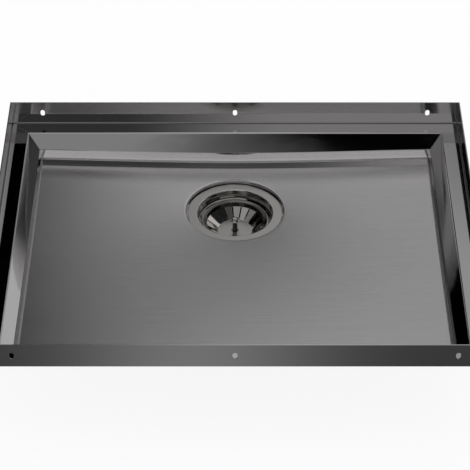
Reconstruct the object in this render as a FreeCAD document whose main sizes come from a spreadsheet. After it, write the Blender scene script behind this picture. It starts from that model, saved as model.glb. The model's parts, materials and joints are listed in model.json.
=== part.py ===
import FreeCAD, Part
import math
import os

import Sketcher

# Shallow steel sink base. Lengths are in millimetres, +Z is up and +Y points to the drain side.
# The origin is the middle of the rim opening, level with the top of the ledge.

SIZES = {
    # tray
    "rim_length": 500.0,
    "rim_width": 400.0,
    "ledge_width": 22.0,
    "upstand_height": 30.0,
    "sheet_thickness": 1.2,
    "bevel_inset": 15.0,
    "wall_height": 12.0,
    "wall_lean": 0.17,
    "rail_leg": 3.0,
    "floor_slope": 0.032,
    "apex_depth": 34.6,
    "drain_share": 0.226,
    "rim_bend": 2.0,
    "fold_bend": 1.5,
    "foot_bend": 2.0,
    "upstand_bend": 1.5,
    # fixing slots in the front and back upstands
    "fixing_width": 5.2,
    "fixing_height": 8.6,
    "fixing_pitch": 233.6,
    # pressed recess around the drain
    "recess_gap": 1.2,
    "recess_bend": 1.6,
    "recess_land": 5.0,
    "hole_clearance": 0.6,
    # sound damping pads under the floor
    "damper_thickness": 3.0,
    "damper_edge_gap": 24.0,
    "damper_drain_gap": 26.0,
    # strainer cup and what clamps it
    "flange_radius": 56.0,
    "flange_sink": 2.4,
    "flange_width": 11.8,
    "cup_taper": 0.6,
    "cup_thickness": 1.2,
    "cup_wall": 0.84,
    "mouth_bend": 1.2,
    "rest_bend": 0.72,
    "well_bend": 2.4,
    "well_heel": 3.6,
    "rest_drop": 12.0,
    "rest_width": 7.0,
    "well_depth": 21.5,
    "outlet_radius": 20.5,
    "neck_radius": 23.9,
    "neck_length": 24.8,
    "flange_seal_thickness": 1.0,
    "under_seal_thickness": 2.5,
    "slip_ring_thickness": 0.8,
    "nut_height": 6.2,
    "nut_wall": 7.0,
    "nut_clearance": 0.25,
    "lug_reach": 4.0,
    "lug_width": 9.0,
    "socket_height": 4.0,
    "socket_drop": 8.0,
    "socket_wall": 1.4,
    "socket_hub": 6.5,
    "socket_hole": 4.0,
    "socket_arm": 3.0,
    # lift-out basket
    "basket_gap": 0.3,
    "basket_thickness": 0.8,
    "lip_clearance": 0.9,
    "lip_crown": 1.0,
    "lip_crown_bend": 6.0,
    "basket_side_gap": 1.6,
    "basket_wall": 5.6,
    "disc_radius": 20.6,
    "cone_drop": 9.5,
    "petal_gap": 1.6,
    "post_radius": 2.9,
    "shank_radius": 2.4,
    "post_height": 13.0,
    "spigot_radius": 1.8,
    "spigot_height": 2.4,
    "knob_radius": 5.5,
    "knob_height": 4.0,
    "knob_foot": 4.4,
    "knob_crown": 3.85,
    "knob_waist_low": 1.4,
    "knob_waist_high": 2.4,
    "crown_bend": 2.0,
    "waist_bend": 0.8,
    "tip_bend": 0.8,
    "stopper_radius": 25.5,
    "stopper_core": 3.5,
    "stopper_lip": 2.4,
    "backing_radius": 9.0,
    "backing_thickness": 1.0,
    "backing_nut_flats": 8.0,
    "backing_nut_height": 4.0,
    "tip_gap": 1.0,
    "tip_end": 2.0,
    "clip_radius": 3.7,
    "clip_thickness": 0.9,
    "clip_play": 0.3,
    "clip_running_fit": 0.05,
    "groove_depth": 0.6,
}

PETALS = 20
PETAL_TURN = 5.0
NUT_LUGS = 8
NUT_SIDES = 6
SOCKET_ARMS = 3
CLIP_SWEEP = 300.0
LOFT_STATIONS = (-1.0, -0.6, -0.25, 0.0, 0.25, 0.6, 1.0)
NEAR = 0.05

doc = FreeCAD.newDocument("sink_base")
sheet = doc.addObject("Spreadsheet::Sheet", "Sizes")
for row, (name, value) in enumerate(SIZES.items(), start=1):
    sheet.set(f"A{row}", name)
    sheet.set(f"B{row}", str(value))
    sheet.setAlias(f"B{row}", name)
doc.recompute()


class Formula:
    """A length held both as a number and as the sheet formula that gives it."""

    def __init__(self, value, text):
        self.value = value
        self.text = text

    @staticmethod
    def of(other):
        if isinstance(other, Formula):
            return other
        return Formula(float(other), repr(float(other)))

    def __add__(self, other):
        other = Formula.of(other)
        return Formula(self.value + other.value, f"({self.text} + {other.text})")

    def __sub__(self, other):
        other = Formula.of(other)
        return Formula(self.value - other.value, f"({self.text} - {other.text})")

    def __mul__(self, other):
        other = Formula.of(other)
        return Formula(self.value * other.value, f"({self.text} * {other.text})")

    def __truediv__(self, other):
        other = Formula.of(other)
        return Formula(self.value / other.value, f"({self.text} / {other.text})")

    def __neg__(self):
        return Formula(-self.value, f"(0 - {self.text})")

    def root(self):
        return Formula(math.sqrt(self.value), f"sqrt({self.text})")


def size(name):
    return Formula(SIZES[name], f"Sizes.{name}")


def bind(target, prop, formula):
    target.setExpression(prop, Formula.of(formula).text)


def new_body(label):
    body = doc.addObject("PartDesign::Body", label)
    body.Label = label
    return body


def new_sketch(body, name, role, offset=(0, 0, 0)):
    sketch = body.newObject("Sketcher::SketchObject", f"{body.Label}_{name}")
    plane = next(item for item in body.Origin.OriginFeatures if item.Role == role)
    sketch.AttachmentSupport = [(plane, "")]
    sketch.MapMode = "FlatFace"
    for axis, shift in zip("xyz", offset):
        bind(sketch, f"AttachmentOffset.Base.{axis}", shift)
    return sketch


def bound(sketch, constraint, formula):
    index = sketch.addConstraint(constraint)
    sketch.setExpression(f"Constraints[{index}]", formula.text)


def place_point(sketch, line, end, point):
    across, up = (Formula.of(item) for item in point)
    bound(sketch, Sketcher.Constraint("DistanceX", -1, 1, line, end, across.value), across)
    bound(sketch, Sketcher.Constraint("DistanceY", -1, 1, line, end, up.value), up)


def polygon(sketch, points):
    """Draw a closed outline whose every corner is bound to the sheet."""
    corners = [FreeCAD.Vector(Formula.of(x).value, Formula.of(y).value, 0) for x, y in points]
    first = sketch.GeometryCount
    count = len(points)
    for step in range(count):
        sketch.addGeometry(Part.LineSegment(corners[step], corners[(step + 1) % count]))
    for step in range(count):
        sketch.addConstraint(
            Sketcher.Constraint("Coincident", first + step, 2, first + (step + 1) % count, 1)
        )
        place_point(sketch, first + step, 1, points[step])


def circle(sketch, radius, centre=(0, 0)):
    radius = Formula.of(radius)
    x, y = (Formula.of(item) for item in centre)
    ring = sketch.addGeometry(
        Part.Circle(FreeCAD.Vector(x.value, y.value, 0), FreeCAD.Vector(0, 0, 1), radius.value)
    )
    bound(sketch, Sketcher.Constraint("Radius", ring, radius.value), radius)
    place_point(sketch, ring, 3, (x, y))


def upright_slot(sketch, x, y, width, height):
    """Draw a slot with round ends that stands upright in the sketch."""
    radius = width / 2
    reach = height / 2 - radius
    ends = (y - reach, y + reach)
    arcs = []
    for end, start in zip(ends, (math.pi, 0.0)):
        middle = FreeCAD.Vector(x.value, end.value, 0)
        rim = Part.Circle(middle, FreeCAD.Vector(0, 0, 1), radius.value)
        arcs.append(sketch.addGeometry(Part.ArcOfCircle(rim, start, start + math.pi)))
    low, high = arcs
    for side, (a, b) in ((1, (2, 1)), (-1, (1, 2))):
        foot = FreeCAD.Vector(x.value + side * radius.value, ends[0].value, 0)
        head = FreeCAD.Vector(x.value + side * radius.value, ends[1].value, 0)
        line = sketch.addGeometry(Part.LineSegment(foot, head))
        sketch.addConstraint(Sketcher.Constraint("Tangent", low, a, line, 1))
        sketch.addConstraint(Sketcher.Constraint("Tangent", high, b, line, 2))
    for arc, end in zip(arcs, ends):
        place_point(sketch, arc, 3, (x, end))
    bound(sketch, Sketcher.Constraint("Radius", low, radius.value), radius)


def feature(body, kind, name, profile, **settings):
    item = body.newObject(f"PartDesign::{kind}", f"{body.Label}_{name}")
    item.Profile = profile
    for key, value in settings.items():
        if isinstance(value, Formula):
            bind(item, key, value)
        else:
            setattr(item, key, value)
    profile.Visibility = False
    return item


def turned(body, name, points, kind="Revolution", angle=360.0, offset=(0, 0, 0)):
    """Turn an outline of radius and height pairs about the upright axis."""
    sketch = new_sketch(body, f"{name}_outline", "XZ_Plane", offset)
    polygon(sketch, points)
    return feature(body, kind, name, sketch, ReferenceAxis=(sketch, ["V_Axis"]), Angle=angle)


def ring(label, inner, outer, low, high):
    body = new_body(label)
    turned(body, "ring", [(inner, low), (outer, low), (outer, high), (inner, high)])
    return body


def edges_where(shape, test):
    """Name the edges whose two ends both pass the test."""
    names = []
    for index, edge in enumerate(shape.Edges, start=1):
        ends = [vertex.Point for vertex in edge.Vertexes]
        if all(test(end) for end in ends):
            names.append(f"Edge{index}")
    return names


def round_edges(body, name, radius, test):
    """Round the edges that the test picks on the body's last feature."""
    doc.recompute()
    base = body.Tip
    names = edges_where(base.Shape, test)
    if not names:
        raise RuntimeError(f"{body.Label}: {name} found no edge")
    item = body.newObject("PartDesign::Fillet", f"{body.Label}_{name}")
    item.Base = (base, names)
    bind(item, "Radius", radius)
    return item


def on_circle(radius, level):
    """Test for points on one circle about the upright axis."""

    def test(point):
        reach = math.hypot(point.x, point.y)
        return abs(reach - radius.value) < NEAR and abs(point.z - level.value) < NEAR

    return test


def around(body, name, item, count):
    """Repeat a feature round the upright axis."""
    pattern = body.newObject("PartDesign::PolarPattern", f"{body.Label}_{name}")
    pattern.Originals = [item]
    axis = next(part for part in body.Origin.OriginFeatures if part.Role == "Z_Axis")
    pattern.Axis = (axis, [""])
    pattern.Angle = 360.0
    pattern.Occurrences = count
    body.Tip = pattern
    return pattern


# Shared levels and half sizes.
thick = size("sheet_thickness")
half_rim = (size("rim_length") / 2, size("rim_width") / 2)
half_wall = tuple(half - size("bevel_inset") for half in half_rim)
half_out = tuple(half + size("ledge_width") for half in half_rim)
drain = size("rim_width") * size("drain_share")
apex = -size("apex_depth")
fold_level = apex + size("wall_height")
seam_rise = size("wall_height") - size("rail_leg")
cone_reach = size("rim_length") * 3
deep = -(size("apex_depth") * 2)

flange_top = apex - size("flange_sink")
flange_under = flange_top - size("cup_thickness")
seat_top = flange_under - size("flange_seal_thickness")
seat_under = seat_top - thick
rest_level = flange_top - size("rest_drop")
well_floor = rest_level - size("well_depth")
well_under = well_floor - size("cup_thickness")
neck_end = well_under - size("neck_length")
mouth_radius = size("flange_radius") - size("flange_width")
cup_radius = mouth_radius - size("cup_taper")
cup_outside = mouth_radius + size("cup_wall")
rest_radius = cup_radius - size("rest_width")
recess_radius = size("flange_radius") + size("recess_gap")
hole_radius = cup_outside + size("hole_clearance")

pieces = []


def slope_at(reach):
    return apex + size("floor_slope") * reach


# Floor pan: a very flat cone cut to a rectangle, with its edges turned up.
def cone_above(name, level):
    """Everything above a cone that runs down to the drain axis."""
    cone = doc.addObject("Part::Cone", name)
    bind(cone, "Radius1", 0)
    bind(cone, "Radius2", cone_reach)
    bind(cone, "Height", cone_reach * size("floor_slope"))
    bind(cone, "Placement.Base.y", drain)
    bind(cone, "Placement.Base.z", level)
    return cone


def leaning(line, level):
    """Where a leaning wall stands at this level, from where it stands at the fold level."""
    return line + size("wall_lean") * (Formula.of(level) - fold_level)


def leaning_block(name, half_x, half_y):
    """A block between four walls that lean outwards."""
    block = doc.addObject("Part::Wedge", name)
    block.Placement.Rotation = FreeCAD.Rotation(FreeCAD.Vector(1, 0, 0), 90)
    bind(block, "Ymin", deep)
    bind(block, "Ymax", 0)
    for axis, half in (("X", half_x), ("Z", half_y)):
        low, high = leaning(half, deep), leaning(half, 0)
        bind(block, f"{axis}min", -low)
        bind(block, f"{axis}max", low)
        bind(block, f"{axis}2min", -high)
        bind(block, f"{axis}2max", high)
    return block


def cut(name, base, tool):
    item = doc.addObject("Part::Cut", name)
    item.Base = base
    item.Tool = tool
    return item


def common(name, first, second):
    item = doc.addObject("Part::MultiCommon", name)
    item.Shapes = [first, second]
    return item


pan_outside = common(
    "pan_outside",
    leaning_block("pan_block", *(half + thick for half in half_wall)),
    cone_above("pan_underside", apex - thick),
)
pan_inside = common(
    "pan_inside",
    leaning_block("bowl_block", *half_wall),
    cone_above("pan_top", apex),
)
pan_sheet = cut("pan_sheet", pan_outside, pan_inside)
pan_trimmed = cut("pan_trimmed", pan_sheet, cone_above("pan_seam", apex + seam_rise))
doc.recompute()

floor_pan = new_body("floor_pan")
floor_pan.BaseFeature = pan_trimmed
doc.recompute()


def at_floor(level, halves):
    """Test for points where the cone at this level meets the leaning walls."""

    def test(point):
        reach = math.hypot(point.x, point.y - drain.value)
        on_wall = any(
            abs(abs(place) - leaning(half, point.z).value) < NEAR
            for place, half in zip((point.x, point.y), halves)
        )
        height = level.value + SIZES["floor_slope"] * reach
        return on_wall and abs(point.z - height) < NEAR

    return test


round_edges(floor_pan, "foot", size("foot_bend"), at_floor(apex, half_wall))
round_edges(
    floor_pan,
    "foot_outside",
    size("foot_bend") + thick,
    at_floor(apex - thick, [half + thick for half in half_wall]),
)

land_radius = recess_radius + size("recess_land")
drain_opening = new_sketch(floor_pan, "opening", "XY_Plane")
circle(drain_opening, land_radius, (0, drain))
feature(floor_pan, "Pocket", "drain_opening", drain_opening, Type="ThroughAll", Midplane=True)
turned(
    floor_pan,
    "recess",
    [
        (land_radius, slope_at(land_radius)),
        (recess_radius, slope_at(recess_radius)),
        (recess_radius, seat_top),
        (hole_radius, seat_top),
        (hole_radius, seat_under),
        (recess_radius + thick, seat_under),
        (recess_radius + thick, slope_at(recess_radius + thick) - thick),
        (land_radius, slope_at(land_radius) - thick),
    ],
    offset=(0, 0, -drain),
)


def on_recess(radius, level):
    test = on_circle(radius, level)
    return lambda point: test(point - FreeCAD.Vector(0, drain.value, 0))


round_edges(
    floor_pan, "recess_edge", size("recess_bend"), on_recess(recess_radius, slope_at(recess_radius))
)
round_edges(
    floor_pan, "recess_heel", size("recess_bend"), on_recess(recess_radius + thick, seat_under)
)
pieces.append(floor_pan)


# Rim rails: one folded strip on each side, mitred where two meet.
def rail(label, turn, along, out, drain_along, drain_out, slotted):
    """Build a rail that faces +Y and turn it to its side of the tray."""
    body = new_body(label)
    body.Placement.Rotation = FreeCAD.Rotation(FreeCAD.Vector(0, 0, 1), turn)
    rim_half, rim_line = half_rim[along], half_rim[out]
    outside, wall_line = half_out[out], half_wall[out]
    top = size("upstand_height")
    angle_outline = new_sketch(body, "angle_outline", "YZ_Plane")
    polygon(
        angle_outline,
        [
            (rim_line, 0),
            (outside - thick, 0),
            (outside - thick, top),
            (outside, top),
            (outside, -thick),
            (rim_line, -thick),
        ],
    )
    feature(body, "Pad", "angle", angle_outline, Length=half_out[along] * 2, Midplane=True)

    def fold_at(place):
        run = place - drain_along
        gap = wall_line - drain_out
        return fold_level + size("floor_slope") * (run * run + gap * gap).root()

    bevel_corner = thick * math.tan(math.radians(22.5))
    sections = []
    for number, share in enumerate(LOFT_STATIONS):
        place = half_out[along] * share
        section = new_sketch(body, f"bevel_outline_{number}", "YZ_Plane", (0, 0, place))
        fold = fold_at(place)
        crest, foot = leaning(wall_line, fold), leaning(wall_line, apex)
        polygon(
            section,
            [
                (rim_line, 0),
                (crest, fold),
                (foot, apex),
                (foot + thick, apex),
                (crest + thick, fold - bevel_corner),
                (rim_line + bevel_corner, -thick),
            ],
        )
        section.Visibility = False
        sections.append(section)
    feature(body, "AdditiveLoft", "bevel", sections[0], Sections=sections[1:])
    doc.recompute()

    def straight(across, level):
        return lambda point: abs(point.y - across.value) < NEAR and abs(point.z - level.value) < NEAR

    def on_fold(point):
        fold = fold_at(Formula.of(point.x))
        across = leaning(wall_line, fold).value
        return abs(point.y - across) < NEAR and abs(point.z - fold.value) < NEAR

    round_edges(body, "rim_bend", size("rim_bend"), straight(rim_line, Formula.of(0)))
    round_edges(body, "fold_bend", size("fold_bend"), on_fold)
    round_edges(body, "upstand_bend", size("upstand_bend"), straight(outside - thick, Formula.of(0)))
    round_edges(body, "upstand_heel", size("upstand_bend") + thick, straight(outside, -thick))

    turned(
        body,
        "foot_cut",
        [
            (0, deep),
            (cone_reach, deep),
            (cone_reach, slope_at(cone_reach) + seam_rise),
            (0, apex + seam_rise),
        ],
        kind="Groove",
        offset=(drain_along, 0, -Formula.of(drain_out)),
    )

    mitre = new_sketch(body, "mitre_outline", "XY_Plane")
    inward = size("bevel_inset") * 2
    outward = size("ledge_width") * 2
    for side in (1, -1):
        polygon(
            mitre,
            [
                ((rim_half - inward) * side, rim_line - inward),
                ((rim_half + outward) * side, rim_line + outward),
                ((rim_half + outward) * side, rim_line - inward),
            ],
        )
    feature(body, "Pocket", "mitre", mitre, Type="ThroughAll", Midplane=True)

    if slotted:
        slots = new_sketch(body, "slot_outline", "XZ_Plane")
        for step in (-1, 0, 1):
            upright_slot(
                slots,
                size("fixing_pitch") * step,
                top / 2,
                size("fixing_width"),
                size("fixing_height"),
            )
        feature(body, "Pocket", "slots", slots, Type="ThroughAll", Midplane=True)
    pieces.append(body)


rail("back_rail", 0, 0, 1, 0, drain, True)
rail("front_rail", 180, 0, 1, 0, -drain, True)
rail("left_rail", 90, 1, 0, drain, 0, False)
rail("right_rail", -90, 1, 0, -drain, 0, False)


# Sound damping pads: flat mats that follow the sloping underside of the floor.
def damper(label, west, east, south, north):
    body = new_body(label)
    outline = new_sketch(body, "outline", "XY_Plane", (0, 0, deep))
    polygon(outline, [(west, south), (east, south), (east, north), (west, north)])
    feature(body, "Pad", "mat", outline, Length=-deep)
    under = apex - thick
    rise = cone_reach * size("floor_slope")
    turned(
        body,
        "top_cut",
        [(0, under), (cone_reach, under + rise), (0, under + rise)],
        kind="Groove",
        offset=(0, 0, -drain),
    )
    low = under - size("damper_thickness")
    turned(
        body,
        "bottom_cut",
        [(0, low), (cone_reach, low + rise), (cone_reach, deep * 2), (0, deep * 2)],
        kind="Groove",
        offset=(0, 0, -drain),
    )
    pieces.append(body)


pad_x, pad_y = (half - size("damper_edge_gap") for half in half_wall)
pad_inner = land_radius + size("damper_drain_gap")
damper("damper_left", -pad_x, -pad_inner, -pad_y, pad_y)
damper("damper_right", pad_inner, pad_x, -pad_y, pad_y)
front_half = pad_inner - size("damper_edge_gap")
damper("damper_front", -front_half, front_half, -pad_y, drain - pad_inner)


# Strainer: every piece below stands on the drain axis.
def at_drain(body):
    bind(body, "Placement.Base.y", drain)
    pieces.append(body)


strainer_cup = new_body("strainer_cup")
turned(
    strainer_cup,
    "shell",
    [
        (size("flange_radius"), flange_top),
        (mouth_radius, flange_top),
        (cup_radius, rest_level),
        (rest_radius, rest_level),
        (rest_radius, well_floor),
        (size("outlet_radius"), well_floor),
        (size("outlet_radius"), neck_end),
        (size("neck_radius"), neck_end),
        (size("neck_radius"), well_under),
        (rest_radius + size("cup_thickness"), well_under),
        (rest_radius + size("cup_thickness"), rest_level - size("cup_thickness")),
        (cup_outside, rest_level - size("cup_thickness")),
        (cup_outside, flange_under),
        (size("flange_radius"), flange_under),
    ],
)
round_edges(strainer_cup, "mouth", size("mouth_bend"), on_circle(mouth_radius, flange_top))
round_edges(strainer_cup, "rim", size("rest_bend"), on_circle(size("flange_radius"), flange_top))
round_edges(strainer_cup, "rest", size("rest_bend"), on_circle(cup_radius, rest_level))
round_edges(strainer_cup, "rest_edge", size("rest_bend"), on_circle(rest_radius, rest_level))
round_edges(strainer_cup, "well", size("well_bend"), on_circle(rest_radius, well_floor))
round_edges(
    strainer_cup,
    "well_outside",
    size("well_heel"),
    on_circle(rest_radius + size("cup_thickness"), well_under),
)
at_drain(strainer_cup)

at_drain(ring("flange_seal", hole_radius, size("flange_radius"), seat_top, flange_under))
seal_low = seat_under - size("under_seal_thickness")
ring_low = seal_low - size("slip_ring_thickness")
nut_low = ring_low - size("nut_height")
nut_bore = cup_outside + size("nut_clearance")
nut_radius = nut_bore + size("nut_wall")
at_drain(ring("under_seal", hole_radius, recess_radius, seal_low, seat_under))
at_drain(ring("slip_ring", hole_radius, nut_radius + size("lug_reach"), ring_low, seal_low))

lock_nut = ring("lock_nut", nut_bore, nut_radius, nut_low, ring_low)
lug_outline = new_sketch(lock_nut, "lug_outline", "XY_Plane", (0, 0, nut_low))
lug_half = size("lug_width") / 2
lug_root = nut_bore + size("nut_wall") / 2
lug_end = nut_radius + size("lug_reach")
polygon(
    lug_outline,
    [(lug_root, -lug_half), (lug_end, -lug_half), (lug_end, lug_half), (lug_root, lug_half)],
)
lug = feature(lock_nut, "Pad", "lug", lug_outline, Length=size("nut_height"))
around(lock_nut, "lugs", lug, NUT_LUGS)
at_drain(lock_nut)

socket_top = well_under - size("socket_drop")
socket_low = socket_top - size("socket_height")
socket_ring = size("outlet_radius") - size("socket_wall")
post_socket = ring("post_socket", socket_ring, size("outlet_radius"), socket_low, socket_top)
turned(
    post_socket,
    "hub",
    [
        (size("socket_hole"), socket_low),
        (size("socket_hub"), socket_low),
        (size("socket_hub"), socket_top),
        (size("socket_hole"), socket_top),
    ],
)
arm_outline = new_sketch(post_socket, "arm_outline", "XY_Plane", (0, 0, socket_low))
arm_half = size("socket_arm") / 2
arm_root = (size("socket_hole") + size("socket_hub")) / 2
arm_end = socket_ring + size("socket_wall") / 2
polygon(
    arm_outline,
    [(arm_root, -arm_half), (arm_end, -arm_half), (arm_end, arm_half), (arm_root, arm_half)],
)
arm = feature(post_socket, "Pad", "arm", arm_outline, Length=size("socket_height"))
around(post_socket, "arms", arm, SOCKET_ARMS)
at_drain(post_socket)

# Basket: a dish with a crowned lip and flat petals between narrow slots.
lip_under = rest_level + size("basket_gap")
lip_top = lip_under + size("basket_thickness")
petal_top = lip_top - size("basket_wall")
disc_top = petal_top - size("cone_drop")
disc_under = disc_top - size("basket_thickness")
lip_radius = cup_radius - size("lip_clearance")
wall_outside = rest_radius - size("basket_side_gap")
basket_radius = wall_outside - size("basket_thickness")
crown_radius = (lip_radius + basket_radius) / 2
crown_under = lip_under + size("lip_crown")
crown_top = lip_top + size("lip_crown")
pitch = 360.0 / PETALS


def spoke(radius, turn, aside=0.0):
    """The point at a radius and a turn in degrees, moved aside across the spoke."""
    radius, aside = Formula.of(radius), Formula.of(aside)
    east, north = math.cos(math.radians(turn)), math.sin(math.radians(turn))
    return radius * east - aside * north, radius * north + aside * east


def petal_ring(name, radius, level):
    sketch = new_sketch(basket_shell, name, "XY_Plane", (0, 0, level))
    polygon(sketch, [spoke(radius, PETAL_TURN + pitch * step) for step in range(PETALS)])
    sketch.Visibility = False
    return sketch


basket_shell = new_body("basket_shell")
turned(
    basket_shell,
    "lip",
    [
        (lip_radius, lip_under),
        (lip_radius, lip_top),
        (crown_radius, crown_top),
        (basket_radius, lip_top),
        (basket_radius, petal_top),
        (wall_outside, petal_top),
        (wall_outside, lip_under),
        (crown_radius, crown_under),
    ],
)
round_edges(basket_shell, "lip_roll", size("basket_thickness"), on_circle(basket_radius, lip_top))
round_edges(basket_shell, "crown", size("lip_crown_bend"), on_circle(crown_radius, crown_top))
round_edges(basket_shell, "crown_under", size("lip_crown_bend"), on_circle(crown_radius, crown_under))
outer_rings = [
    petal_ring("petals_top_outside", wall_outside, petal_top),
    petal_ring("petals_low_outside", size("disc_radius") + size("basket_thickness") / 3, disc_under),
]
feature(basket_shell, "AdditiveLoft", "dish", outer_rings[0], Sections=outer_rings[1:], Ruled=True)
inner_rings = [
    petal_ring("petals_top_inside", basket_radius, petal_top),
    petal_ring("petals_low_inside", size("disc_radius"), disc_top),
]
feature(basket_shell, "SubtractiveLoft", "hollow", inner_rings[0], Sections=inner_rings[1:], Ruled=True)
gap_outline = new_sketch(basket_shell, "gap_outline", "XY_Plane")
gap_half = size("petal_gap") / 2
gap_start = size("disc_radius") + size("basket_thickness") * 2
gap_end = basket_radius - size("basket_thickness")
polygon(
    gap_outline,
    [
        spoke(gap_start, PETAL_TURN, -gap_half),
        spoke(gap_end, PETAL_TURN, -gap_half),
        spoke(gap_end, PETAL_TURN, gap_half),
        spoke(gap_start, PETAL_TURN, gap_half),
    ],
)
gap = feature(basket_shell, "Pocket", "gap", gap_outline, Type="ThroughAll", Midplane=True)
around(basket_shell, "gaps", gap, PETALS)
post_hole = new_sketch(basket_shell, "post_hole", "XY_Plane")
circle(post_hole, size("shank_radius"))
feature(basket_shell, "Pocket", "hole", post_hole, Type="ThroughAll", Midplane=True)
at_drain(basket_shell)

# Post, knob, stopper and the parts that hold them on the basket.
shank = size("shank_radius")
knob_low = disc_top + size("post_height")
spigot_top = knob_low + size("spigot_height")
knob_top = knob_low + size("knob_height")
groove_high = socket_low - size("tip_gap")
groove_low = groove_high - size("clip_thickness") - size("clip_play") * 2
groove_radius = shank - size("groove_depth")
tip_low = groove_low - size("tip_end")

basket_post = new_body("basket_post")
turned(
    basket_post,
    "post",
    [
        (0, tip_low),
        (shank, tip_low),
        (shank, groove_low),
        (groove_radius, groove_low),
        (groove_radius, groove_high),
        (shank, groove_high),
        (shank, disc_top),
        (size("post_radius"), disc_top),
        (size("post_radius"), knob_low),
        (size("spigot_radius"), knob_low),
        (size("spigot_radius"), spigot_top),
        (0, spigot_top),
    ],
)
round_edges(basket_post, "tip", size("tip_bend"), on_circle(shank, tip_low))
at_drain(basket_post)

basket_knob = new_body("basket_knob")
knob_radius = size("knob_radius")
waist_low = knob_low + size("knob_waist_low")
waist_high = knob_low + size("knob_waist_high")
turned(
    basket_knob,
    "button",
    [
        (size("spigot_radius"), knob_low),
        (size("knob_foot"), knob_low),
        (knob_radius, waist_low),
        (knob_radius, waist_high),
        (size("knob_crown"), knob_top),
        (0, knob_top),
        (0, spigot_top),
        (size("spigot_radius"), spigot_top),
    ],
)
round_edges(basket_knob, "crown", size("crown_bend"), on_circle(size("knob_crown"), knob_top))
round_edges(basket_knob, "waist", size("waist_bend"), on_circle(knob_radius, waist_low))
at_drain(basket_knob)

stopper_low = well_floor + size("basket_gap")
core_low = disc_under - size("stopper_core")
stopper = new_body("stopper")
turned(
    stopper,
    "plug",
    [
        (shank, disc_under),
        (size("disc_radius"), disc_under),
        (size("stopper_radius"), stopper_low + size("stopper_lip")),
        (size("stopper_radius"), stopper_low),
        (size("stopper_radius") - size("stopper_lip"), stopper_low),
        (size("backing_radius") + size("stopper_lip"), core_low),
        (shank, core_low),
    ],
)
at_drain(stopper)

backing_low = core_low - size("backing_thickness")
at_drain(ring("stopper_washer", shank, size("backing_radius"), backing_low, core_low))

stopper_nut = new_body("stopper_nut")
nut_outline = new_sketch(stopper_nut, "outline", "XY_Plane", (0, 0, backing_low))
nut_corner = size("backing_nut_flats") / math.sqrt(3.0)
polygon(nut_outline, [spoke(nut_corner, 360.0 / NUT_SIDES * step) for step in range(NUT_SIDES)])
circle(nut_outline, shank)
feature(
    stopper_nut, "Pad", "hexagon", nut_outline, Length=size("backing_nut_height"), Reversed=True
)
at_drain(stopper_nut)

spring_clip = new_body("spring_clip")
clip_bore = groove_radius + size("clip_running_fit")
clip_low = groove_low + size("clip_play")
clip_high = clip_low + size("clip_thickness")
turned(
    spring_clip,
    "hoop",
    [
        (clip_bore, clip_low),
        (size("clip_radius"), clip_low),
        (size("clip_radius"), clip_high),
        (clip_bore, clip_high),
    ],
    angle=CLIP_SWEEP,
)
at_drain(spring_clip)

doc.recompute()
for item in doc.Objects:
    if "Invalid" in item.State or "Error" in item.State:
        raise RuntimeError(f"{item.Label} did not compute: {item.State}")
os.makedirs("parts", exist_ok=True)
for piece in pieces:
    if piece.Shape.isNull() or not piece.Shape.isValid() or len(piece.Shape.Solids) != 1:
        raise RuntimeError(f"{piece.Label} is not one sound solid")
    piece.Shape.exportStep(f"parts/{piece.Label}.step")
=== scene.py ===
"""Looks of a shallow gunmetal sink base with a basket strainer, in metres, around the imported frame."""

import json
import logging
import math
from collections.abc import Callable, Iterable, Mapping
from dataclasses import dataclass, field, replace
from enum import Enum
from functools import cache
from itertools import pairwise

import bmesh
import bpy
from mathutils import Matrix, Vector


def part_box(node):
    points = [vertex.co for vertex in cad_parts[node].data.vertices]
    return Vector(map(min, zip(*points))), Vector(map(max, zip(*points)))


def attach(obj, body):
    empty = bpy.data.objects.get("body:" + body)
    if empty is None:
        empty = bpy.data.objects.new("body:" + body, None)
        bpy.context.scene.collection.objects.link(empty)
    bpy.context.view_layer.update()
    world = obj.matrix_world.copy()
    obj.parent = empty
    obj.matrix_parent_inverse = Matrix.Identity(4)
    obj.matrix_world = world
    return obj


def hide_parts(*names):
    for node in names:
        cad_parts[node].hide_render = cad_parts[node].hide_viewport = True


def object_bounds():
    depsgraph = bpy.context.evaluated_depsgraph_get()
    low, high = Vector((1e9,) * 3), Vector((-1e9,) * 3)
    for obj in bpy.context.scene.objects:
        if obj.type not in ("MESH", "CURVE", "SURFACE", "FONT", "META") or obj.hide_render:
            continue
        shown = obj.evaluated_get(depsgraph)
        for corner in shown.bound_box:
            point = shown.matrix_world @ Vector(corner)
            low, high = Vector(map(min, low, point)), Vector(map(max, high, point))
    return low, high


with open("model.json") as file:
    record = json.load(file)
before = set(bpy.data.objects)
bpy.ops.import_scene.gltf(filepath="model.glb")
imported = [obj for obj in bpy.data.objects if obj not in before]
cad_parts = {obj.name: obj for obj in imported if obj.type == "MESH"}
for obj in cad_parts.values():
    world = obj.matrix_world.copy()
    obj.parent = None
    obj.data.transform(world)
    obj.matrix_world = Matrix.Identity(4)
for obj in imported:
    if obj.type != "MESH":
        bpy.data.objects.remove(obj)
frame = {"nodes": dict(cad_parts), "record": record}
CAD_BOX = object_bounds()

LOG = logging.getLogger("sink_base")
MM = 0.001
IMAGE_SIDE = 470
SENSOR_WIDTH = 36.0

Colour = tuple[float, float, float, float]
Point = tuple[float, float, float]
Limits = tuple[float, float]


def grey(level: float, warmth: float = 0.0) -> Colour:
    """A neutral colour, a little warmer where warmth is above zero."""
    return (level * (1 + warmth), level, level * (1 - warmth), 1.0)


def doubled(colour: Colour) -> Colour:
    """Twice a colour, so that half of it is the colour itself."""
    return tuple(2 * part for part in colour[:3]) + (1.0,)


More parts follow.
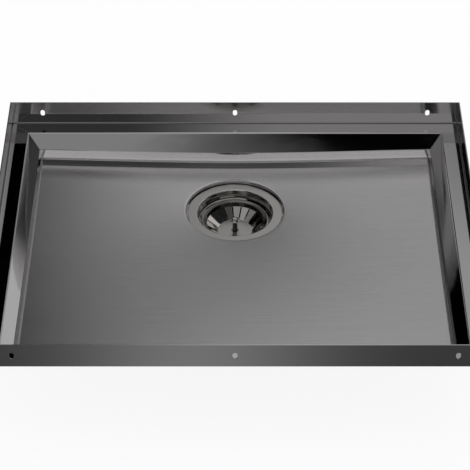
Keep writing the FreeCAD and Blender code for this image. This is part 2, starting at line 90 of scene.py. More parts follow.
class Signal:
    """One output socket, on which arithmetic adds Math nodes."""

    def __init__(self, graph: "Graph", socket: bpy.types.NodeSocket) -> None:
        """Keep the socket and the graph that it belongs to."""
        self.graph = graph
        self.socket = socket

    def math(self, operation: str, *others: "Signal | float") -> "Signal":
        """Add a Math node with this signal as its first operand."""
        return self.graph.math(operation, self, *others)

    def __add__(self, other: "Signal | float") -> "Signal":
        """Sum of two signals."""
        return self.math("ADD", other)

    __radd__ = __add__

    def __sub__(self, other: "Signal | float") -> "Signal":
        """Difference of two signals."""
        return self.math("SUBTRACT", other)

    def __rsub__(self, other: float) -> "Signal":
        """A number less this signal."""
        return self.graph.math("SUBTRACT", other, self)

    def __mul__(self, other: "Signal | float") -> "Signal":
        """Product of two signals."""
        return self.math("MULTIPLY", other)

    __rmul__ = __mul__

    def __neg__(self) -> "Signal":
        """The signal with its sign turned."""
        return self * -1.0

    def __abs__(self) -> "Signal":
        """The signal without its sign."""
        return self.math("ABSOLUTE")

    def larger(self, other: "Signal | float") -> "Signal":
        """The larger of two signals."""
        return self.math("MAXIMUM", other)

    def ramp(self, low: float, high: float) -> "Signal":
        """A smooth step.

        Args:
            low: Where the step starts, at zero.
            high: Where the step ends, at one.

        Returns:
            The stepped signal.
        """
        values = {"Value": self, "From Min": low, "From Max": high}
        settings = {"interpolation_type": "SMOOTHSTEP"}
        return self.graph.signal("ShaderNodeMapRange", "Result", settings, values)

    def past(self, edge: float, soft: float) -> "Signal":
        """A smooth step across an edge, from a half width before it to a half width after it."""
        return self.ramp(edge - soft, edge + soft)

    def between(self, low: float, high: float, low_soft: float, high_soft: float) -> "Signal":
        """One between two edges and zero outside them, with a half width of softness at each."""
        return self.past(low, low_soft) * (1.0 - self.past(high, high_soft))


class Graph:
    """Writes one node tree."""

    def __init__(self, tree: bpy.types.NodeTree) -> None:
        """Start from an empty tree."""
        self.tree = tree
        tree.nodes.clear()

    def node(
        self,
        kind: str,
        settings: Mapping[str, object] | None = None,
        values: Mapping[str | int, object] | None = None,
    ) -> bpy.types.Node:
        """Add a node.

        Args:
            kind: The node's type.
            settings: Properties of the node, which are set first.
            values: Numbers for its input sockets, or signals that are linked to them.

        Returns:
            The new node.
        """
        node = self.tree.nodes.new(kind)
        for name, value in (settings or {}).items():
            setattr(node, name, value)
        for name, value in (values or {}).items():
            if isinstance(value, Signal):
                self.tree.links.new(value.socket, node.inputs[name])
            else:
                node.inputs[name].default_value = value
        return node

    def signal(
        self,
        kind: str,
        output: str | int = 0,
        settings: Mapping[str, object] | None = None,
        values: Mapping[str | int, object] | None = None,
    ) -> Signal:
        """Add a node and take one of its outputs.

        Args:
            kind: The node's type.
            output: The name or number of the output.
            settings: Properties of the node.
            values: Numbers or signals for its inputs.

        Returns:
            The output as a signal.
        """
        return Signal(self, self.node(kind, settings, values).outputs[output])

    def math(self, operation: str, *operands: Signal | float) -> Signal:
        """Add a Math node on these operands."""
        settings = {"operation": operation}
        return self.signal("ShaderNodeMath", 0, settings, dict(enumerate(operands)))

    def vector(self, operation: str, *operands: Signal | Point) -> Signal:
        """Add a Vector Math node on these operands."""
        settings = {"operation": operation}
        return self.signal("ShaderNodeVectorMath", 0, settings, dict(enumerate(operands)))

    def blend(self, share: Signal, first: Signal | Colour, second: Signal | Colour) -> Signal:
        """Mix two colours.

        Args:
            share: How much of the second colour there is.
            first: The colour at a share of zero.
            second: The colour at a share of one.

        Returns:
            The mixed colour.
        """
        values = {0: share, 6: first, 7: second}
        return self.signal("ShaderNodeMix", 2, {"data_type": "RGBA"}, values)

    def choose(self, share: Signal, first: Signal, second: Signal) -> Signal:
        """Mix two vectors."""
        values = {0: share, 4: first, 5: second}
        return self.signal("ShaderNodeMix", 1, {"data_type": "VECTOR"}, values)

    def noise(self, place: Signal, scale: float, detail: float) -> Signal:
        """Noise from zero to one at this place."""
        values = {"Vector": place, "Scale": scale, "Detail": detail}
        return self.signal("ShaderNodeTexNoise", 0, None, values)

    def place(self) -> Signal:
        """The surface point in metres, in the part's own frame."""
        return self.signal("ShaderNodeTexCoord", "Object")

    def facing(self) -> Signal:
        """The direction that the surface faces, in the part's own frame."""
        return self.signal("ShaderNodeTexCoord", "Normal")

    def axes(self, vector: Signal) -> tuple[Signal, Signal, Signal]:
        """The three parts of a vector."""
        split = self.node("ShaderNodeSeparateXYZ", None, {0: vector})
        return tuple(Signal(self, socket) for socket in split.outputs)

    def bump(self, height: Signal, strength: float, depth: float) -> Signal:
        """A normal bent by a height.

        Args:
            height: The height, from zero to one.
            strength: How much of the bump is felt.
            depth: What a height of one stands for, in metres.

        Returns:
            The bent normal.
        """
        values = {"Height": height, "Strength": strength, "Distance": depth}
        return self.signal("ShaderNodeBump", 0, None, values)


class Grain(Enum):
    """Which way a finish is brushed."""

    ALONG_X = (1.0, 0.0, 0.0)
    ALONG_Y = (0.0, 1.0, 0.0)
    ROUND_DRAIN = (0.0, 0.0, 1.0)


@dataclass(frozen=True)
class Finish:
    """A surface finish, mixed into a material once."""

    name: str

    def surface(self, graph: Graph) -> Signal:
        """Mix the finish in a graph."""
        raise NotImplementedError

    def shader(self, graph: Graph, values: Mapping[str, object]) -> Signal:
        """Add the main shader with these socket values."""
        return graph.signal("ShaderNodeBsdfPrincipled", 0, None, values)


@cache
def material_of(finish: Finish) -> bpy.types.Material:
    """The material of a finish, made on first use.

    Args:
        finish: The finish to mix.

    Returns:
        The one material that all its pieces share.
    """
    material = bpy.data.materials.new(finish.name)
    material.use_nodes = True
    graph = Graph(material.node_tree)
    graph.node("ShaderNodeOutputMaterial", None, {"Surface": finish.surface(graph)})
    return material


@dataclass(frozen=True)
class Steel(Finish):
    """Coloured or bright steel with a brushed grain, faint smears, and worn edges that are also painted
    lighter as a painted highlight.

    Where there is an inner radius, what lies within it round the centre is left unbrushed, and so is what
    stands upright. A coarse band is a rougher strip towards the back, and a bend is a fold of the sheet,
    painted darker as painted shade.
    Rings round the centre are painted lighter or darker, as painted highlight and painted shade in place of
    reflections, each given by its two radii and its tone.
    """

    colour: Colour
    grain: Grain
    roughness: float
    least_roughness: float = 0.03
    grain_depth: float = 0.02 * MM
    grain_width: float = 0.45 * MM
    grain_length: float = 60 * MM
    grain_turns: float = 3.0
    grain_tone: float = 0.06
    grain_turned: Limits = (0.6, 0.8)
    hair_share: float = 0.65
    streak_scale: float = 0.22
    cloud_scale: float = 9.0
    smear: float = 0.03
    edge_radius: float = 0.6 * MM
    edge_limits: Limits = (0.02, 0.25)
    # Painted highlight: how much lighter the edges are painted, besides the real wear that makes them
    # rougher.
    edge_wear_and_highlight: float = 0.06
    edge_roughness: float = 0.3
    centre: Point = (0.0, 0.0, 0.0)
    inner_radius: float = 0.0
    inner_blur: float = 0.5 * MM
    inner_roughness: float = 0.1
    flat_limits: Limits = (0.55, 0.95)
    coarse_band: Limits | None = None
    coarse_start: Limits = (-190 * MM, -90 * MM)
    coarse_blur: float = 1.5 * MM
    coarse_roughness: float = 0.3
    coarse_tone: float = 0.1
    upstand_roughness: float = 0.0
    upstand_limits: Limits = (12 * MM, 17 * MM)
    # Painted shade: how much darker the folds are painted.
    bend_painted_shade: float = 0.0
    bend_roughness: float = 0.0
    bend_limits: Limits = (0.23, 0.59)
    bend_blur: float = 0.03
    turn_limits: Limits = (0.055, 0.965)
    turn_blur: Limits = (0.025, 0.015)
    fold_lines: Limits = (267 * MM, 217 * MM)
    fold_blur: float = 1 * MM
    # Painted light and shade: each ring paints the colour lighter as a painted highlight or darker as painted
    # shade.
    rings: tuple[tuple[float, float, float], ...] = ()
    ring_blur: float = 0.3 * MM

    def offset(self, graph: Graph) -> Signal:
        """Where a point lies from the centre."""
        return graph.vector("SUBTRACT", graph.place(), self.centre)

    def reach(self, graph: Graph) -> Signal:
        """How far a point is from the upright axis through the centre."""
        x, y, _ = graph.axes(self.offset(graph))
        return graph.math("SQRT", x * x + y * y)

    def brushed(self, graph: Graph) -> Signal | float:
        """How much a point is brushed.

        Args:
            graph: The material's graph.

        Returns:
            The share of brushing, which is one all over where there is no inner radius.
        """
        if not self.inner_radius:
            return 1.0
        outside = self.reach(graph).past(self.inner_radius, self.inner_blur)
        return outside * abs(graph.axes(graph.facing())[2]).ramp(*self.flat_limits)

    def coarse(self, graph: Graph) -> tuple[Signal, Signal]:
        """The coarser strip towards the back.

        Args:
            graph: The material's graph.

        Returns:
            How coarse a point is, and how much of the brushing is left beyond the strip.
        """
        start, end = self.coarse_band
        width, depth, _ = graph.axes(graph.place())
        left = 1.0 - depth.past(end, self.coarse_blur)
        return depth.ramp(start, (start + end) / 2) * width.ramp(*self.coarse_start) * left, left

    def bends(self, graph: Graph) -> Signal | float:
        """How much a point lies in a fold: next to the wall, or where the upstand turns up.

        Args:
            graph: The material's graph.

        Returns:
            The share of the fold, which is zero all over where folds look like the rest.
        """
        if not (self.bend_painted_shade or self.bend_roughness):
            return 0.0
        x, y, _ = graph.axes(graph.place())
        rise = graph.axes(graph.facing())[2]
        by_wall = rise.between(*self.bend_limits, self.bend_blur, self.bend_blur)
        turning = rise.between(*self.turn_limits, *self.turn_blur)
        side, end = self.fold_lines
        outside = abs(x).past(side, self.fold_blur).larger(abs(y).past(end, self.fold_blur))
        return by_wall.larger(turning * outside)

    def ring_painted_light(self, graph: Graph) -> Signal | float:
        """How much painted highlight the rings round the centre add, or painted shade where it is below zero.

        Args:
            graph: The material's graph.

        Returns:
            What the rings' painted highlight and shade add to the tone.
        """
        if not self.rings:
            return 0.0
        reach = self.reach(graph)
        blurs = (self.ring_blur, self.ring_blur)
        return sum(reach.between(start, end, *blurs) * tone for start, end, tone in self.rings)

    def strokes(self, graph: Graph) -> Signal:
        """The place stretched so that noise on it runs along the grain.

        Args:
            graph: The material's graph.

        Returns:
            The stretched place, which is turned on faces that look along the grain.
        """
        fine = 1 / self.grain_width
        place = self.offset(graph)
        if self.grain is Grain.ROUND_DRAIN:
            x, y, z = graph.axes(place)
            turn = graph.math("ARCTAN2", y, x)
            values = {0: turn * self.grain_turns, 1: self.reach(graph) * fine, 2: z * fine}
            return graph.signal("ShaderNodeCombineXYZ", 0, None, values)
        along = tuple(1 / self.grain_length if part else fine for part in self.grain.value)
        aside = (along[1], along[0], along[2])
        across = abs(graph.axes(graph.facing())[self.grain.value.index(1.0)])
        straight = graph.vector("MULTIPLY", place, along)
        turned = graph.vector("MULTIPLY", place, aside)
        return graph.choose(across.ramp(*self.grain_turned), straight, turned)

    def worn_and_highlit_edges(self, graph: Graph) -> Signal:
        """How close a point is to an edge, which hands and cloths wear and which is painted lighter as a
        painted highlight.

        Args:
            graph: The material's graph.

        Returns:
            The share of wear and of painted edge highlight.
        """
        soft = graph.signal("ShaderNodeBevel", 0, {"samples": 4}, {"Radius": self.edge_radius})
        values = {0: soft, 1: graph.signal("ShaderNodeNewGeometry", "Normal")}
        match = graph.signal("ShaderNodeVectorMath", "Value", {"operation": "DOT_PRODUCT"}, values)
        return (1.0 - match).ramp(*self.edge_limits)

    def surface(self, graph: Graph) -> Signal:
        """Mix the steel.

        Args:
            graph: The material's graph.

        Returns:
            The shader.
        """
        strokes = self.strokes(graph)
        hair = graph.noise(strokes, 1.0, 2.0)
        streak = graph.noise(strokes, self.streak_scale, 3.0)
        cloud = graph.noise(graph.place(), self.cloud_scale, 4.0)
        edge = self.worn_and_highlit_edges(graph)
        bends = self.bends(graph)
        brushed = self.brushed(graph)
        brushing = self.roughness - self.inner_roughness
        # Painted light in the colour: painted edge highlight, painted highlight and shade in the rings, and
        # painted shade in the folds; the coarse band adds its own tone.
        painted_light_and_band_tone = edge * self.edge_wear_and_highlight + self.ring_painted_light(graph) - bends * self.bend_painted_shade
        if self.coarse_band:
            coarse, left = self.coarse(graph)
            brushed = brushed * left
            brushing = brushing + coarse * (self.coarse_roughness - self.roughness)
            painted_light_and_band_tone = painted_light_and_band_tone + coarse * brushed * self.coarse_tone
        rough = self.inner_roughness + brushed * brushing + bends * self.bend_roughness
        if self.upstand_roughness:
            height = graph.axes(graph.place())[2]
            rough = rough + height.ramp(*self.upstand_limits) * (self.upstand_roughness - self.roughness)
        rough = rough + (streak + cloud - 1.0) * self.smear + edge * self.edge_roughness
        relief = (hair * self.hair_share + streak * (1.0 - self.hair_share)) * brushed
        tone = 0.5 + (hair + streak - 1.0) * self.grain_tone + painted_light_and_band_tone
        return self.shader(
            graph,
            {
                "Base Color": graph.blend(tone, grey(0.0), doubled(self.colour)),
                "Metallic": 1.0,
                "Roughness": rough.larger(self.least_roughness),
                "Normal": graph.bump(relief, 1.0, self.grain_depth),
            },
        )


@dataclass(frozen=True)
class Moulded(Finish):
    """Rubber, fibre or plastic with a fine skin and dust in patches."""

    colour: Colour
    dust: Colour
    roughness: float
    skin_scale: float
    skin_depth: float
    skin_strength: float = 0.6
    skin_roughness: float = 0.2
    patch_size: float = 30.0
    patch_share: float = 0.7
    dust_limits: Limits = (0.35, 0.8)
    dust_share: float = 0.35
    gloss: float = 0.35

    def surface(self, graph: Graph) -> Signal:
        """Mix the moulded finish.

        Args:
            graph: The material's graph.

        Returns:
            The shader.
        """
        place = graph.place()
        skin = graph.noise(place, self.skin_scale, 4.0)
        patch = graph.noise(place, self.skin_scale / self.patch_size, 3.0)
        mixed = patch * self.patch_share + skin * (1.0 - self.patch_share)
        share = mixed.ramp(*self.dust_limits) * self.dust_share
        return self.shader(
            graph,
            {
                "Base Color": graph.blend(share, self.colour, self.dust),
                "Roughness": self.roughness + (skin - 0.5) * self.skin_roughness,
                "Specular IOR Level": self.gloss,
                "Normal": graph.bump(skin, self.skin_strength, self.skin_depth),
            },
        )


def drain_axis() -> Vector:
    """The middle of the strainer, seen from above."""
    low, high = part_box("strainer_cup")
    return (low + high) / 2


DRAIN = drain_axis()
DRAIN_CENTRE = (DRAIN.x, DRAIN.y, 0.0)
GUNMETAL = (0.435, 0.427, 0.431, 1.0)


class Finishes:
    """The finishes of this object."""

    floor = Steel(
        "gunmetal_brushed_floor",
        GUNMETAL,
        Grain.ALONG_X,
        0.16,
        grain_depth=0.03 * MM,
        grain_width=0.35 * MM,
        centre=DRAIN_CENTRE,
        inner_radius=60 * MM,
        inner_roughness=0.06,
        coarse_band=(115 * MM, 171 * MM),
        coarse_roughness=0.26,
        # Painted shade in the floor's folds.
        bend_painted_shade=0.05,
        bend_roughness=0.5,
        bend_limits=(0.23, 0.94),
    )
    rail_x = Steel(
        "gunmetal_polished_x",
        GUNMETAL,
        Grain.ALONG_X,
        0.05,
        grain_depth=0.001 * MM,
        grain_tone=0.03,
        smear=0.015,
        upstand_roughness=0.11,
        # Painted shade in the rails' folds.
        bend_painted_shade=0.32,
    )
    rail_y = replace(rail_x, name="gunmetal_polished_y", grain=Grain.ALONG_Y)
    cup = Steel(
        "strainer_steel_turned",
        grey(0.47, 0.03),
        Grain.ROUND_DRAIN,
        0.3,
        grain_depth=0.004 * MM,
        grain_width=0.3 * MM,
        centre=DRAIN_CENTRE,
        inner_radius=44.6 * MM,
        # Painted shade: the cup is painted darker between 30 and 44.4 mm from the drain's axis.
        rings=((30 * MM, 44.4 * MM, -0.08),),
    )
    basket = Steel(
        "basket_steel_bright",
        grey(0.46, 0.035),
        Grain.ROUND_DRAIN,
        0.3,
        grain_depth=0.002 * MM,
        grain_width=0.3 * MM,
        grain_tone=0.04,
        centre=DRAIN_CENTRE,
        inner_radius=0.5 * MM,
        inner_roughness=0.06,
        flat_limits=(0.985, 0.998),
        # Painted highlight in the knob's middle; painted shade round it and on the basket's lip.
        rings=(
            (0.0, 2 * MM, 0.1),
            (2 * MM, 4.5 * MM, -0.34),
            (33.6 * MM, 37.6 * MM, -0.38),
            (37.6 * MM, 50 * MM, -0.2),
        ),
    )
    rubber = Moulded("seal_rubber_black", grey(0.018), grey(0.09, 0.05), 0.62, 900.0, 0.05 * MM)
    mat = Moulded("damping_mat_grey", grey(0.09, 0.03), grey(0.2, 0.04), 0.85, 420.0, 0.25 * MM)
    fibre = Moulded("slip_fibre_card", (0.32, 0.2, 0.11, 1.0), (0.5, 0.38, 0.25, 1.0), 0.8, 600.0, 0.1 * MM)
    plastic = Moulded("nut_plastic_white", grey(0.62, 0.02), grey(0.42, 0.06), 0.42, 300.0, 0.03 * MM)


def dress(names: Iterable[str], finish: Finish) -> None:
    """Give these nodes a finish.

    Args:
        names: The nodes, by name.
        finish: The finish that they all take.
    """
    for name in names:
        node = frame["nodes"][name]
        if not node.material_slots:
            node.data.materials.append(None)
        for slot in node.material_slots:
            slot.material = material_of(finish)
        LOG.info("%s dressed in %s", name, finish.name)


def new_piece(name: str, mesh_maker: Callable[[bmesh.types.BMesh], None], finish: Finish) -> bpy.types.Object:
    """Make a mesh object.

    Args:
        name: The piece's name.
        mesh_maker: Draws the piece into an empty mesh.
        finish: The piece's finish.

    Returns:
        The new object, in the scene.
    """
    mesh = bpy.data.meshes.new(name)
    shape = bmesh.new()
    mesh_maker(shape)
    bmesh.ops.recalc_face_normals(shape, faces=shape.faces)
    shape.to_mesh(mesh)
    shape.free()
    mesh.materials.append(material_of(finish))
    piece = bpy.data.objects.new(name, mesh)
    bpy.context.scene.collection.objects.link(piece)
    LOG.info("%s built with %d faces", name, len(mesh.polygons))
    return piece


@dataclass
class Tray:
    """The floor pan and the four folded rails round it."""

    pan: str = "floor_pan"
    long_rails: tuple[str, ...] = ("back_rail", "front_rail")
    short_rails: tuple[str, ...] = ("left_rail", "right_rail")

    def dress(self) -> None:
        """Brush the floor and polish the rails along their length."""
        dress([self.pan], Finishes.floor)
        dress(self.long_rails, Finishes.rail_x)
        dress(self.short_rails, Finishes.rail_y)


@dataclass
class DampingMat:
    """A sound damping mat under the floor, embossed in squares on its free face."""

    node: str
    piece: str
    floor_slope: float = 0.032
    step: float = 2.5 * MM
    square: float = 15.0 * MM
    groove: float = 2.5 * MM
    emboss: float = 0.8 * MM

    def build(self) -> bpy.types.Object:
        """Build the mat over its plain solid.

        Returns:
            The new piece.
        """
        piece = new_piece(self.piece, self.draw, Finishes.mat)
        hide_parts(self.node)
        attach(piece, "sink")
        return piece

    def reach(self, x: float, y: float) -> float:
        """How far a point is from the drain."""
        return math.hypot(x - DRAIN.x, y - DRAIN.y)

    def sunk(self, offset: float) -> float:
        """How much of the groove's depth there is at this distance from the mat's middle."""
        gap = abs(offset - self.square * round(offset / self.square))
        return max(0.0, 1.0 - gap / self.groove)

    def draw(self, shape: bmesh.types.BMesh) -> None:
        """Draw the mat as two skins with a rim between them.

        Args:
            shape: The mesh to draw in.
        """
        low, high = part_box(self.node)
        far = max(self.reach(x, y) for x in (low.x, high.x) for y in (low.y, high.y))
        near = self.reach(min(max(DRAIN.x, low.x), high.x), min(max(DRAIN.y, low.y), high.y))
        upper = self.rim(self.skin(shape, high.z - self.floor_slope * far, 0.0))
        lower = self.rim(self.skin(shape, low.z - self.floor_slope * near, self.emboss))
        for step in range(len(upper)):
            shape.faces.new((upper[step - 1], upper[step], lower[step], lower[step - 1]))

    def skin(self, shape: bmesh.types.BMesh, level: float, emboss: float) -> list[list[bmesh.types.BMVert]]:
        """Draw one skin of the mat, which rises away from the drain as the floor does.

        Args:
            shape: The mesh to draw in.
            level: The skin's height where the floor's slope starts, at the drain.
            emboss: How deep its grooves are.

        Returns:
            The skin's points, row by row.
        """
        low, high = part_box(self.node)
        middle = (low + high) / 2
        columns, steps = (round((high[axis] - low[axis]) / self.step) for axis in (0, 1))
        rows = []
        for column in range(columns + 1):
            x = low.x + (high.x - low.x) * column / columns
            row = []
            for step in range(steps + 1):
                y = low.y + (high.y - low.y) * step / steps
                cut = max(self.sunk(x - middle.x), self.sunk(y - middle.y))
                z = level + self.floor_slope * self.reach(x, y) + emboss * cut
                row.append(shape.verts.new((x, y, z)))
            rows.append(row)
        for first, second in pairwise(rows):
            for step in range(steps):
                shape.faces.new((first[step], second[step], second[step + 1], first[step + 1]))
        return rows

    def rim(self, rows: list[list[bmesh.types.BMVert]]) -> list[bmesh.types.BMVert]:
        """The points round the edge of a skin.

        Args:
            rows: The skin's points, row by row.

        Returns:
            The points on its edge, in order.
        """
        left = rows[0]
        right = rows[-1][::-1]
        back = [row[-1] for row in rows[1:-1]]
        front = [row[0] for row in rows[-2:0:-1]]
        return left + back + right + front


@dataclass
class OutletThread:
    """The thread on the outlet neck that takes the waste pipe's nut.

    Half widths of the ridge are shares of the pitch, and its ends fade out over a part of a turn.
    """

    piece: str = "outlet_thread"
    pitch: float = 2.309 * MM
    height: float = 0.7 * MM
    root_depth: float = 0.02 * MM
    root_half: float = 0.48
    crest_half: float = 0.1
    fades_per_turn: float = 3.0
    sides: int = 72
    margin: float = 1.6 * MM

    def build(self) -> bpy.types.Object:
        """Build the thread on the neck.

        Returns:
            The new piece.
        """
        piece = new_piece(self.piece, self.draw, Finishes.cup)
        for face in piece.data.polygons:
            face.use_smooth = True
        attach(piece, "sink")
        return piece

    def ring(
        self,
        shape: bmesh.types.BMesh,
        radius: float,
        foot: float,
        turns: float,
        fade: float,
    ) -> list[bmesh.types.BMVert]:
        """Draw the ridge's outline at one place of the winding.

        Args:
            shape: The mesh to draw in.
            radius: The neck's radius.
            foot: The height where the winding starts.
            turns: How far the ridge has wound, in turns.
            fade: How much of the ridge's height there is.

        Returns:
            The outline's points.
        """
        crest = self.height * fade
        outline = (
            (-self.root_depth, -self.root_half),
            (crest, -self.crest_half),
            (crest, self.crest_half),
            (-self.root_depth, self.root_half),
        )
        across, along = math.cos(math.tau * turns), math.sin(math.tau * turns)
        points = []
        for out, up in outline:
            reach = radius + out
            z = foot + self.pitch * (turns + 0.5 + up)
            points.append(shape.verts.new((DRAIN.x + reach * across, DRAIN.y + reach * along, z)))
        return points

    def draw(self, shape: bmesh.types.BMesh) -> None:
        """Draw one ridge that winds round the neck.

        Args:
            shape: The mesh to draw in.
        """
        mount = next(item for item in frame["record"]["mounts"] if item["name"] == self.piece)
        radius = mount["dims"]["r_mm"] * MM
        length = mount["dims"]["length_mm"] * MM
        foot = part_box("strainer_cup")[0].z + self.margin
        steps = round((length - 2 * self.margin - self.pitch) / self.pitch * self.sides)
        rings = []
        for step in range(steps + 1):
            ends = (step / self.sides, (steps - step) / self.sides)
            fade = min(1.0, *(end * self.fades_per_turn for end in ends))
            rings.append(self.ring(shape, radius, foot, step / self.sides, fade))
        for first, second in pairwise(rings):
            for corner in range(len(first)):
                follow = (corner + 1) % len(first)
                shape.faces.new((first[corner], first[follow], second[follow], second[corner]))
        shape.faces.new(rings[0])
        shape.faces.new(rings[-1])


@dataclass
class Strainer:
    """The cup, what clamps it to the floor, and its outlet."""

    steel: tuple[str, ...] = ("strainer_cup", "post_socket")
    seals: tuple[str, ...] = ("flange_seal", "under_seal")
    thread: OutletThread = field(default_factory=OutletThread)

    def build(self) -> None:
        """Wind the outlet's thread."""
        self.thread.build()

    def dress(self) -> None:
        """Turn the steel, and colour the clamping parts."""
        dress(self.steel, Finishes.cup)
        dress(self.seals, Finishes.rubber)
        dress(["slip_ring"], Finishes.fibre)
        dress(["lock_nut"], Finishes.plastic)


@dataclass
class Basket:
    """The lift-out basket with its post, knob and stopper."""

    steel: tuple[str, ...] = (
        "basket_shell",
        "basket_post",
        "basket_knob",
        "stopper_washer",
        "stopper_nut",
        "spring_clip",
    )

    def dress(self) -> None:
        """Brighten the steel and blacken the stopper."""
        dress(self.steel, Finishes.basket)
        dress(["stopper"], Finishes.rubber)


class Side(Enum):
    """Which way a card's azimuth is counted from."""

    BACK = 1.0
    FRONT = -1.0


@dataclass(frozen=True)
class Card:
    """A studio card that only reflections see, as a soft patch of the surroundings.

    Its azimuths count to the right of its side and its elevations from the horizon, in degrees. A card with
    a far level changes to it between the two azimuths of its fade.
    """

    side: Side
    west: float
    east: float
    low: float
    high: float
    level: float
    far_level: float | None = None
    fade: Limits = (0.0, 1.0)
    west_soft: float = 3.0
    east_soft: float = 3.0
    low_soft: float = 3.0
    high_soft: float = 3.0

    def over(self, light: Signal | float, azimuth: Signal, elevation: Signal) -> Signal:
        """Lay the card over what is behind it.

        Args:
            light: The light behind the card.
            azimuth: Degrees to the right of the card's side.
            elevation: Degrees above the horizon.

        Returns:
            The light with the card in front.
        """
        across = azimuth.between(self.west, self.east, self.west_soft, self.east_soft)
        upward = elevation.between(self.low, self.high, self.low_soft, self.high_soft)
        level = self.level
        if self.far_level is not None:
            level = level + azimuth.ramp(*self.fade) * (self.far_level - self.level)
        return light + (level - light) * (across * upward)


@dataclass
class Studio:
    """Camera, pale floor and soft light.

    The floor is mirrored as a dim pool of light in front of the part and as a plain level beneath it.
    A card lies over the cards that are listed before it.
    """

    focal_pixels: float = 2043.1
    camera_place: Point = (0.0, -1.8180, 1.4380)
    camera_pitch: float = 38.33
    camera_range: float = 50.0
    floor_side: float = 12.0
    floor_gap: float = 1.0 * MM
    floor_paper: float = 0.86
    glow_share: float = 0.9
    bounce_share: float = 0.4
    soft_level: float = 0.85
    pool_centre: float = -0.045
    pool_width: float = 0.14
    pool_level: float = 0.32
    pool_end: float = -0.21
    pool_blur: float = 0.02
    beneath_level: float = 0.45
    lamp_place: Point = (0.3, 0.2, 1.6)
    lamp_size: Limits = (1.6, 1.2)
    lamp_power: float = 8.0
    cards: tuple[Card, ...] = (
        Card(Side.FRONT, -125, 125, 62, 84, 0.42, 0.1, (0.0, 45.0), low_soft=2),
        Card(Side.FRONT, -32, 62, -8, 25, 1.4, west_soft=6),
        Card(Side.FRONT, -70, 70, 25.5, 36.4, 0.115, 0.87, (-4.0, 2.0), low_soft=2, high_soft=0.5),
        Card(Side.FRONT, 20, 48, 28.5, 36.4, 0.2, high_soft=0.5),
        Card(Side.FRONT, -48, -20, 28.5, 36.4, 1.0, high_soft=0.5),
        Card(Side.FRONT, -70, 70, 36.4, 54, 0.44, 0.0, (-3.4, 2.8), low_soft=0.5, high_soft=2),
        Card(Side.FRONT, -70, 70, 54, 62, 0.165, 0.95, (-1.0, 5.5), low_soft=2, high_soft=2),
        Card(Side.FRONT, 60, 125, 25, 70, 0.02, east_soft=8),
        Card(Side.FRONT, 60, 125, 49.5, 54, 0.17, east_soft=8, low_soft=1, high_soft=1),
        Card(Side.FRONT, -125, -60, 25, 68, 0.5, west_soft=8),
        Card(Side.FRONT, -125, -60, 25, 51.6, 0.02, west_soft=8, high_soft=1),
        Card(Side.FRONT, 28, 110, -12, 3.95, 0.0, east_soft=8, low_soft=2, high_soft=1.15),
        Card(Side.FRONT, -110, -34, -12, 50, 0.74),
        Card(Side.FRONT, -110, -34, 4.2, 46, 0.0, low_soft=2.2),
        Card(Side.BACK, -10, 30, 10, 62, 0.8, east_soft=6),
        Card(Side.BACK, -10, 30, 10, 36.4, 0.28, east_soft=6),
        Card(Side.BACK, 6.5, 30, 10, 62, 0.6, west_soft=1.5, east_soft=6),
        Card(Side.BACK, 6.5, 30, 10, 37, 0.33, west_soft=1.5, east_soft=6, high_soft=2.5),
        Card(Side.BACK, 30, 80, 3.4, 40, 0.82, west_soft=6, low_soft=0.6),
        Card(Side.BACK, 40, 50, 22, 50, 0.25, west_soft=1.5, east_soft=1.5),
        Card(Side.BACK, 10, 80, -12, 3.0, 0.0, low_soft=2, high_soft=0.4),
        Card(Side.BACK, 26, 38, 16, 23.5, 0.22, west_soft=1.5, east_soft=1.5, low_soft=1, high_soft=1.5),
        Card(Side.BACK, -60, -3.2, -12, 47, 0.0, east_soft=3.5),
        Card(Side.BACK, -60, -2.0, -12, 36.6, 0.0, east_soft=3.5, high_soft=1.2),
        Card(Side.BACK, -80, -19, 33.6, 62, 0.42, west_soft=8, low_soft=1.5, high_soft=6),
        Card(Side.BACK, -74, -57, 29, 43, 0.0),
        Card(Side.BACK, -38, -27, 16, 23.5, 0.9, west_soft=1.5, east_soft=1.5, low_soft=1, high_soft=1.5),
    )

    def build(self) -> None:
        """Set up the whole studio."""
        self.build_camera()
        self.build_world()
        self.build_floor()
        self.build_lamp()
        bpy.context.scene.view_settings.view_transform = "Standard"

    def build_camera(self) -> None:
        """Place the camera at the photograph's viewing angle."""
        data = bpy.data.cameras.new("camera")
        data.sensor_width = SENSOR_WIDTH
        data.lens = self.focal_pixels * SENSOR_WIDTH / IMAGE_SIDE
        data.clip_end = self.camera_range
        camera = bpy.data.objects.new("camera", data)
        camera.location = self.camera_place
        camera.rotation_euler = (math.radians(90.0 - self.camera_pitch), 0.0, 0.0)
        bpy.context.scene.collection.objects.link(camera)
        bpy.context.scene.camera = camera

    def seen(self, graph: Graph) -> tuple[Signal, Signal]:
        """Light path tests.

        Args:
            graph: The graph to add them to.

        Returns:
            Whether the background itself is seen, and whether it is seen in a reflection.
        """
        path = graph.node("ShaderNodeLightPath")
        camera, glossy, through = (
            Signal(graph, path.outputs[name])
            for name in ("Is Camera Ray", "Is Glossy Ray", "Is Transmission Ray")
        )
        return camera.larger(glossy).larger(through), glossy

    def build_world(self) -> None:
        """White surroundings, with studio cards for the reflections."""
        world = bpy.data.worlds.new("studio")
        bpy.context.scene.world = world
        world.use_nodes = True
        graph = Graph(world.node_tree)
        x, y, z = graph.axes(graph.signal("ShaderNodeTexCoord", "Generated"))
        degree = 180.0 / math.pi
        elevation = graph.math("ARCSINE", z) * degree
        azimuths = {side: graph.math("ARCTAN2", x, y * side.value) * degree for side in Side}
        light = 1.0
        for card in self.cards:
            light = card.over(light, azimuths[card.side], elevation)
        seen, glossy = self.seen(graph)
        level = (1.0 - glossy + glossy * light) * (seen + (1.0 - seen) * self.soft_level)
        background = graph.signal("ShaderNodeBackground", 0, None, {"Color": level, "Strength": 1.0})
        graph.node("ShaderNodeOutputWorld", None, {"Surface": background})

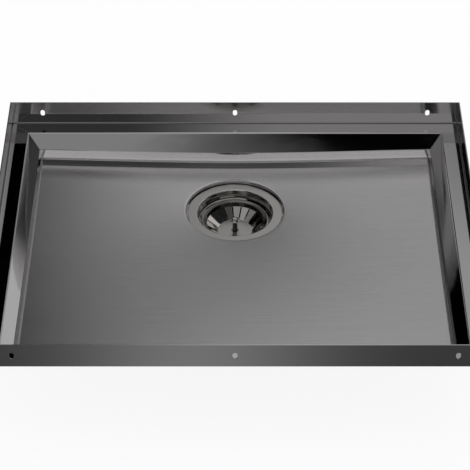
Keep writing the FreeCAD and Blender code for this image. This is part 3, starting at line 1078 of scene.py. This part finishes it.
    def build_floor(self) -> None:
        """A pale floor under the part, seen only from above."""
        half = self.floor_side / 2
        level = CAD_BOX[0].z - self.floor_gap
        mesh = bpy.data.meshes.new("floor")
        corners = [(-half, -half, level), (half, -half, level), (half, half, level), (-half, half, level)]
        mesh.from_pydata(corners, [], [(0, 1, 2, 3)])
        floor = bpy.data.objects.new("floor", mesh)
        bpy.context.scene.collection.objects.link(floor)
        material = bpy.data.materials.new("floor_paper")
        material.use_nodes = True
        mesh.materials.append(material)
        graph = Graph(material.node_tree)
        surface = self.floor_surface(graph)
        graph.node("ShaderNodeOutputMaterial", None, {"Surface": surface})

    def floor_surface(self, graph: Graph) -> Signal:
        """Mix the floor's paper, which is white to the camera and dimmer in reflections.

        Args:
            graph: The material's graph.

        Returns:
            The shader.
        """
        x, y, _ = graph.axes(graph.place())
        seen, glossy = self.seen(graph)
        away = (x - self.pool_centre) * (1 / self.pool_width)
        beneath = y.past(self.pool_end, self.pool_blur)
        pool = self.pool_level * graph.math("EXPONENT", -(away * away)) * (1.0 - beneath)
        paper = graph.signal("ShaderNodeBsdfDiffuse", 0, None, {"Color": grey(self.floor_paper)})
        level = (1.0 - glossy) + glossy * (pool + beneath * self.beneath_level)
        glow = graph.signal("ShaderNodeEmission", 0, None, {"Color": level, "Strength": 1.0})
        share = seen * self.glow_share + (1.0 - seen) * self.bounce_share
        pale = graph.signal("ShaderNodeMixShader", 0, None, {0: share, 1: paper, 2: glow})
        hidden = graph.signal("ShaderNodeNewGeometry", "Backfacing")
        clear = graph.signal("ShaderNodeBsdfTransparent")
        return graph.signal("ShaderNodeMixShader", 0, None, {0: hidden, 1: pale, 2: clear})

    def build_lamp(self) -> None:
        """A wide soft lamp overhead, for the shadow and the matt pieces."""
        data = bpy.data.lights.new("overhead", "AREA")
        data.shape = "RECTANGLE"
        data.size, data.size_y = self.lamp_size
        data.energy = self.lamp_power
        lamp = bpy.data.objects.new("overhead", data)
        lamp.location = self.lamp_place
        lamp.visible_glossy = False
        bpy.context.scene.collection.objects.link(lamp)


def main() -> None:
    """Build and dress every sub-assembly, then light it."""
    logging.basicConfig(level=logging.INFO, format="%(message)s")
    Tray().dress()
    for side in ("left", "right", "front"):
        DampingMat(f"damper_{side}", f"mat_{side}").build()
    strainer = Strainer()
    strainer.build()
    strainer.dress()
    Basket().dress()
    Studio().build()


if __name__ == "__main__":
    main()
